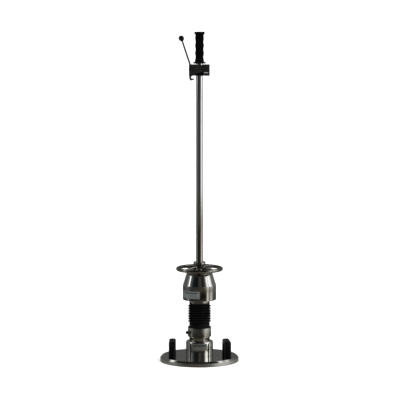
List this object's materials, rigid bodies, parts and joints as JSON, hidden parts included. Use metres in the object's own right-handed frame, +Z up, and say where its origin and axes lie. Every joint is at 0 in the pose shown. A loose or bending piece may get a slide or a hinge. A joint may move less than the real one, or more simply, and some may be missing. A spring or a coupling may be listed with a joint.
{
  "type": "light drop-weight deflectometer",
  "caption": "Portable plate load tester: round steel plate with handles and sensor hub, sprung anvil in a bellows, ring-handled drop weight on a guide rod, release hook and lever, grip on top.",
  "frame": {"origin": "centre of the load plate's underside, where it stands on the ground", "axes": "+Z up along the guide rod, -Y towards the side with the labels, -X towards the release lever's knob"},
  "size_m": [0.3, 0.3, 1.257],
  "materials": {
    "plate_steel": "polished steel with fine grinding marks",
    "hub_steel": "polished steel",
    "housing_steel": "satin turned steel",
    "weight_chrome": "bright chrome over turned steel",
    "ring_chrome": "bright chrome",
    "rod_chrome": "hard chrome, ground",
    "dark_anodised": "black anodised, satin",
    "black_rubber": "matt black rubber",
    "black_plastic": "black moulded plastic, light grain",
    "knob_plastic": "glossy black thermoset",
    "black_oxide": "black oxide screw",
    "zinc_steel": "zinc plated steel",
    "spring_steel": "phosphated and greased spring steel",
    "dark_steel": "dark hardened steel, lightly oiled",
    "bronze": "sintered bronze",
    "foil": "printed silver foil, blank",
    "seal_rubber": "black seal rubber",
    "pad_polymer": "hard grey polymer"
  },
  "bodies": {
    "load_plate_assembly": {"load_plate": "plate_steel", "sensor_hub": "hub_steel", "hub_oring": "seal_rubber", "hub_bolts": "black_oxide", "ball_seat": "zinc_steel", "acceleration_sensor": "zinc_steel", "cable_socket": "zinc_steel", "socket_cap": "dark_anodised", "handle_left": "black_plastic", "handle_right": "black_plastic", "handle_screws": "black_oxide", "hub_label": "foil"},
    "loading_device": {"spring_housing": "housing_steel", "neck_screws": "black_oxide", "thrust_pad": "zinc_steel", "rod_screw": "black_oxide", "guide_rod": "rod_chrome", "spring_washer_lower": "zinc_steel", "spring_sleeve": "zinc_steel", "disc_springs": "spring_steel", "bellows": "black_rubber", "release_block": "dark_anodised", "block_cover": "dark_anodised", "cover_screws": "black_oxide", "clamp_screws": "black_oxide", "stop_pin": "zinc_steel", "pivot_pin": "black_oxide", "grip": "black_rubber", "rod_plug": "black_plastic", "lock_bush": "zinc_steel"},
    "pressure_plate_assembly": {"pressure_plate": "housing_steel", "plate_bush": "bronze", "impact_pad": "pad_polymer", "spring_washer_upper": "zinc_steel"},
    "drop_weight": {"weight_body": "weight_chrome", "catch_collar": "rod_chrome", "upper_bush": "bronze", "lower_bush": "bronze", "ring_handle": "ring_chrome", "ring_spokes": "ring_chrome", "weight_label": "foil"},
    "release_lever": {"hook_plate": "dark_steel", "lever_rod": "black_oxide", "lever_nut": "black_oxide", "ball_knob": "knob_plastic"},
    "lock_plunger": {"lock_pin": "zinc_steel", "lock_knob": "knob_plastic"}
  },
  "joints": [
    {"name": "device_lift_off", "type": "slide", "parent": "load_plate_assembly", "child": "loading_device", "axis": [0, 0, 1], "range_m": [0, 0.12]},
    {"name": "anvil_stroke", "type": "slide", "parent": "loading_device", "child": "pressure_plate_assembly", "axis": [0, 0, -1], "range_m": [0, 0.02], "stiffness_N_per_m": 36000, "springref_m": -0.01, "deforming": ["disc_springs", "bellows"]},
    {"name": "weight_drop", "type": "slide", "parent": "pressure_plate_assembly", "child": "drop_weight", "axis": [0, 0, 1], "range_m": [0, 0.709]},
    {"name": "release_pivot", "type": "hinge", "parent": "loading_device", "child": "release_lever", "pos_m": [-0.024, 0, 1.116], "axis": [0, 1, 0], "range_deg": [0, 12], "stiffness_Nm_per_rad": 2, "springref_deg": -17.19},
    {"name": "lock_pull", "type": "slide", "parent": "loading_device", "child": "lock_plunger", "axis": [-0.8829, -0.4695, 0], "range_m": [0, 0.005], "stiffness_N_per_m": 1500, "springref_m": -0.003}
  ]
}
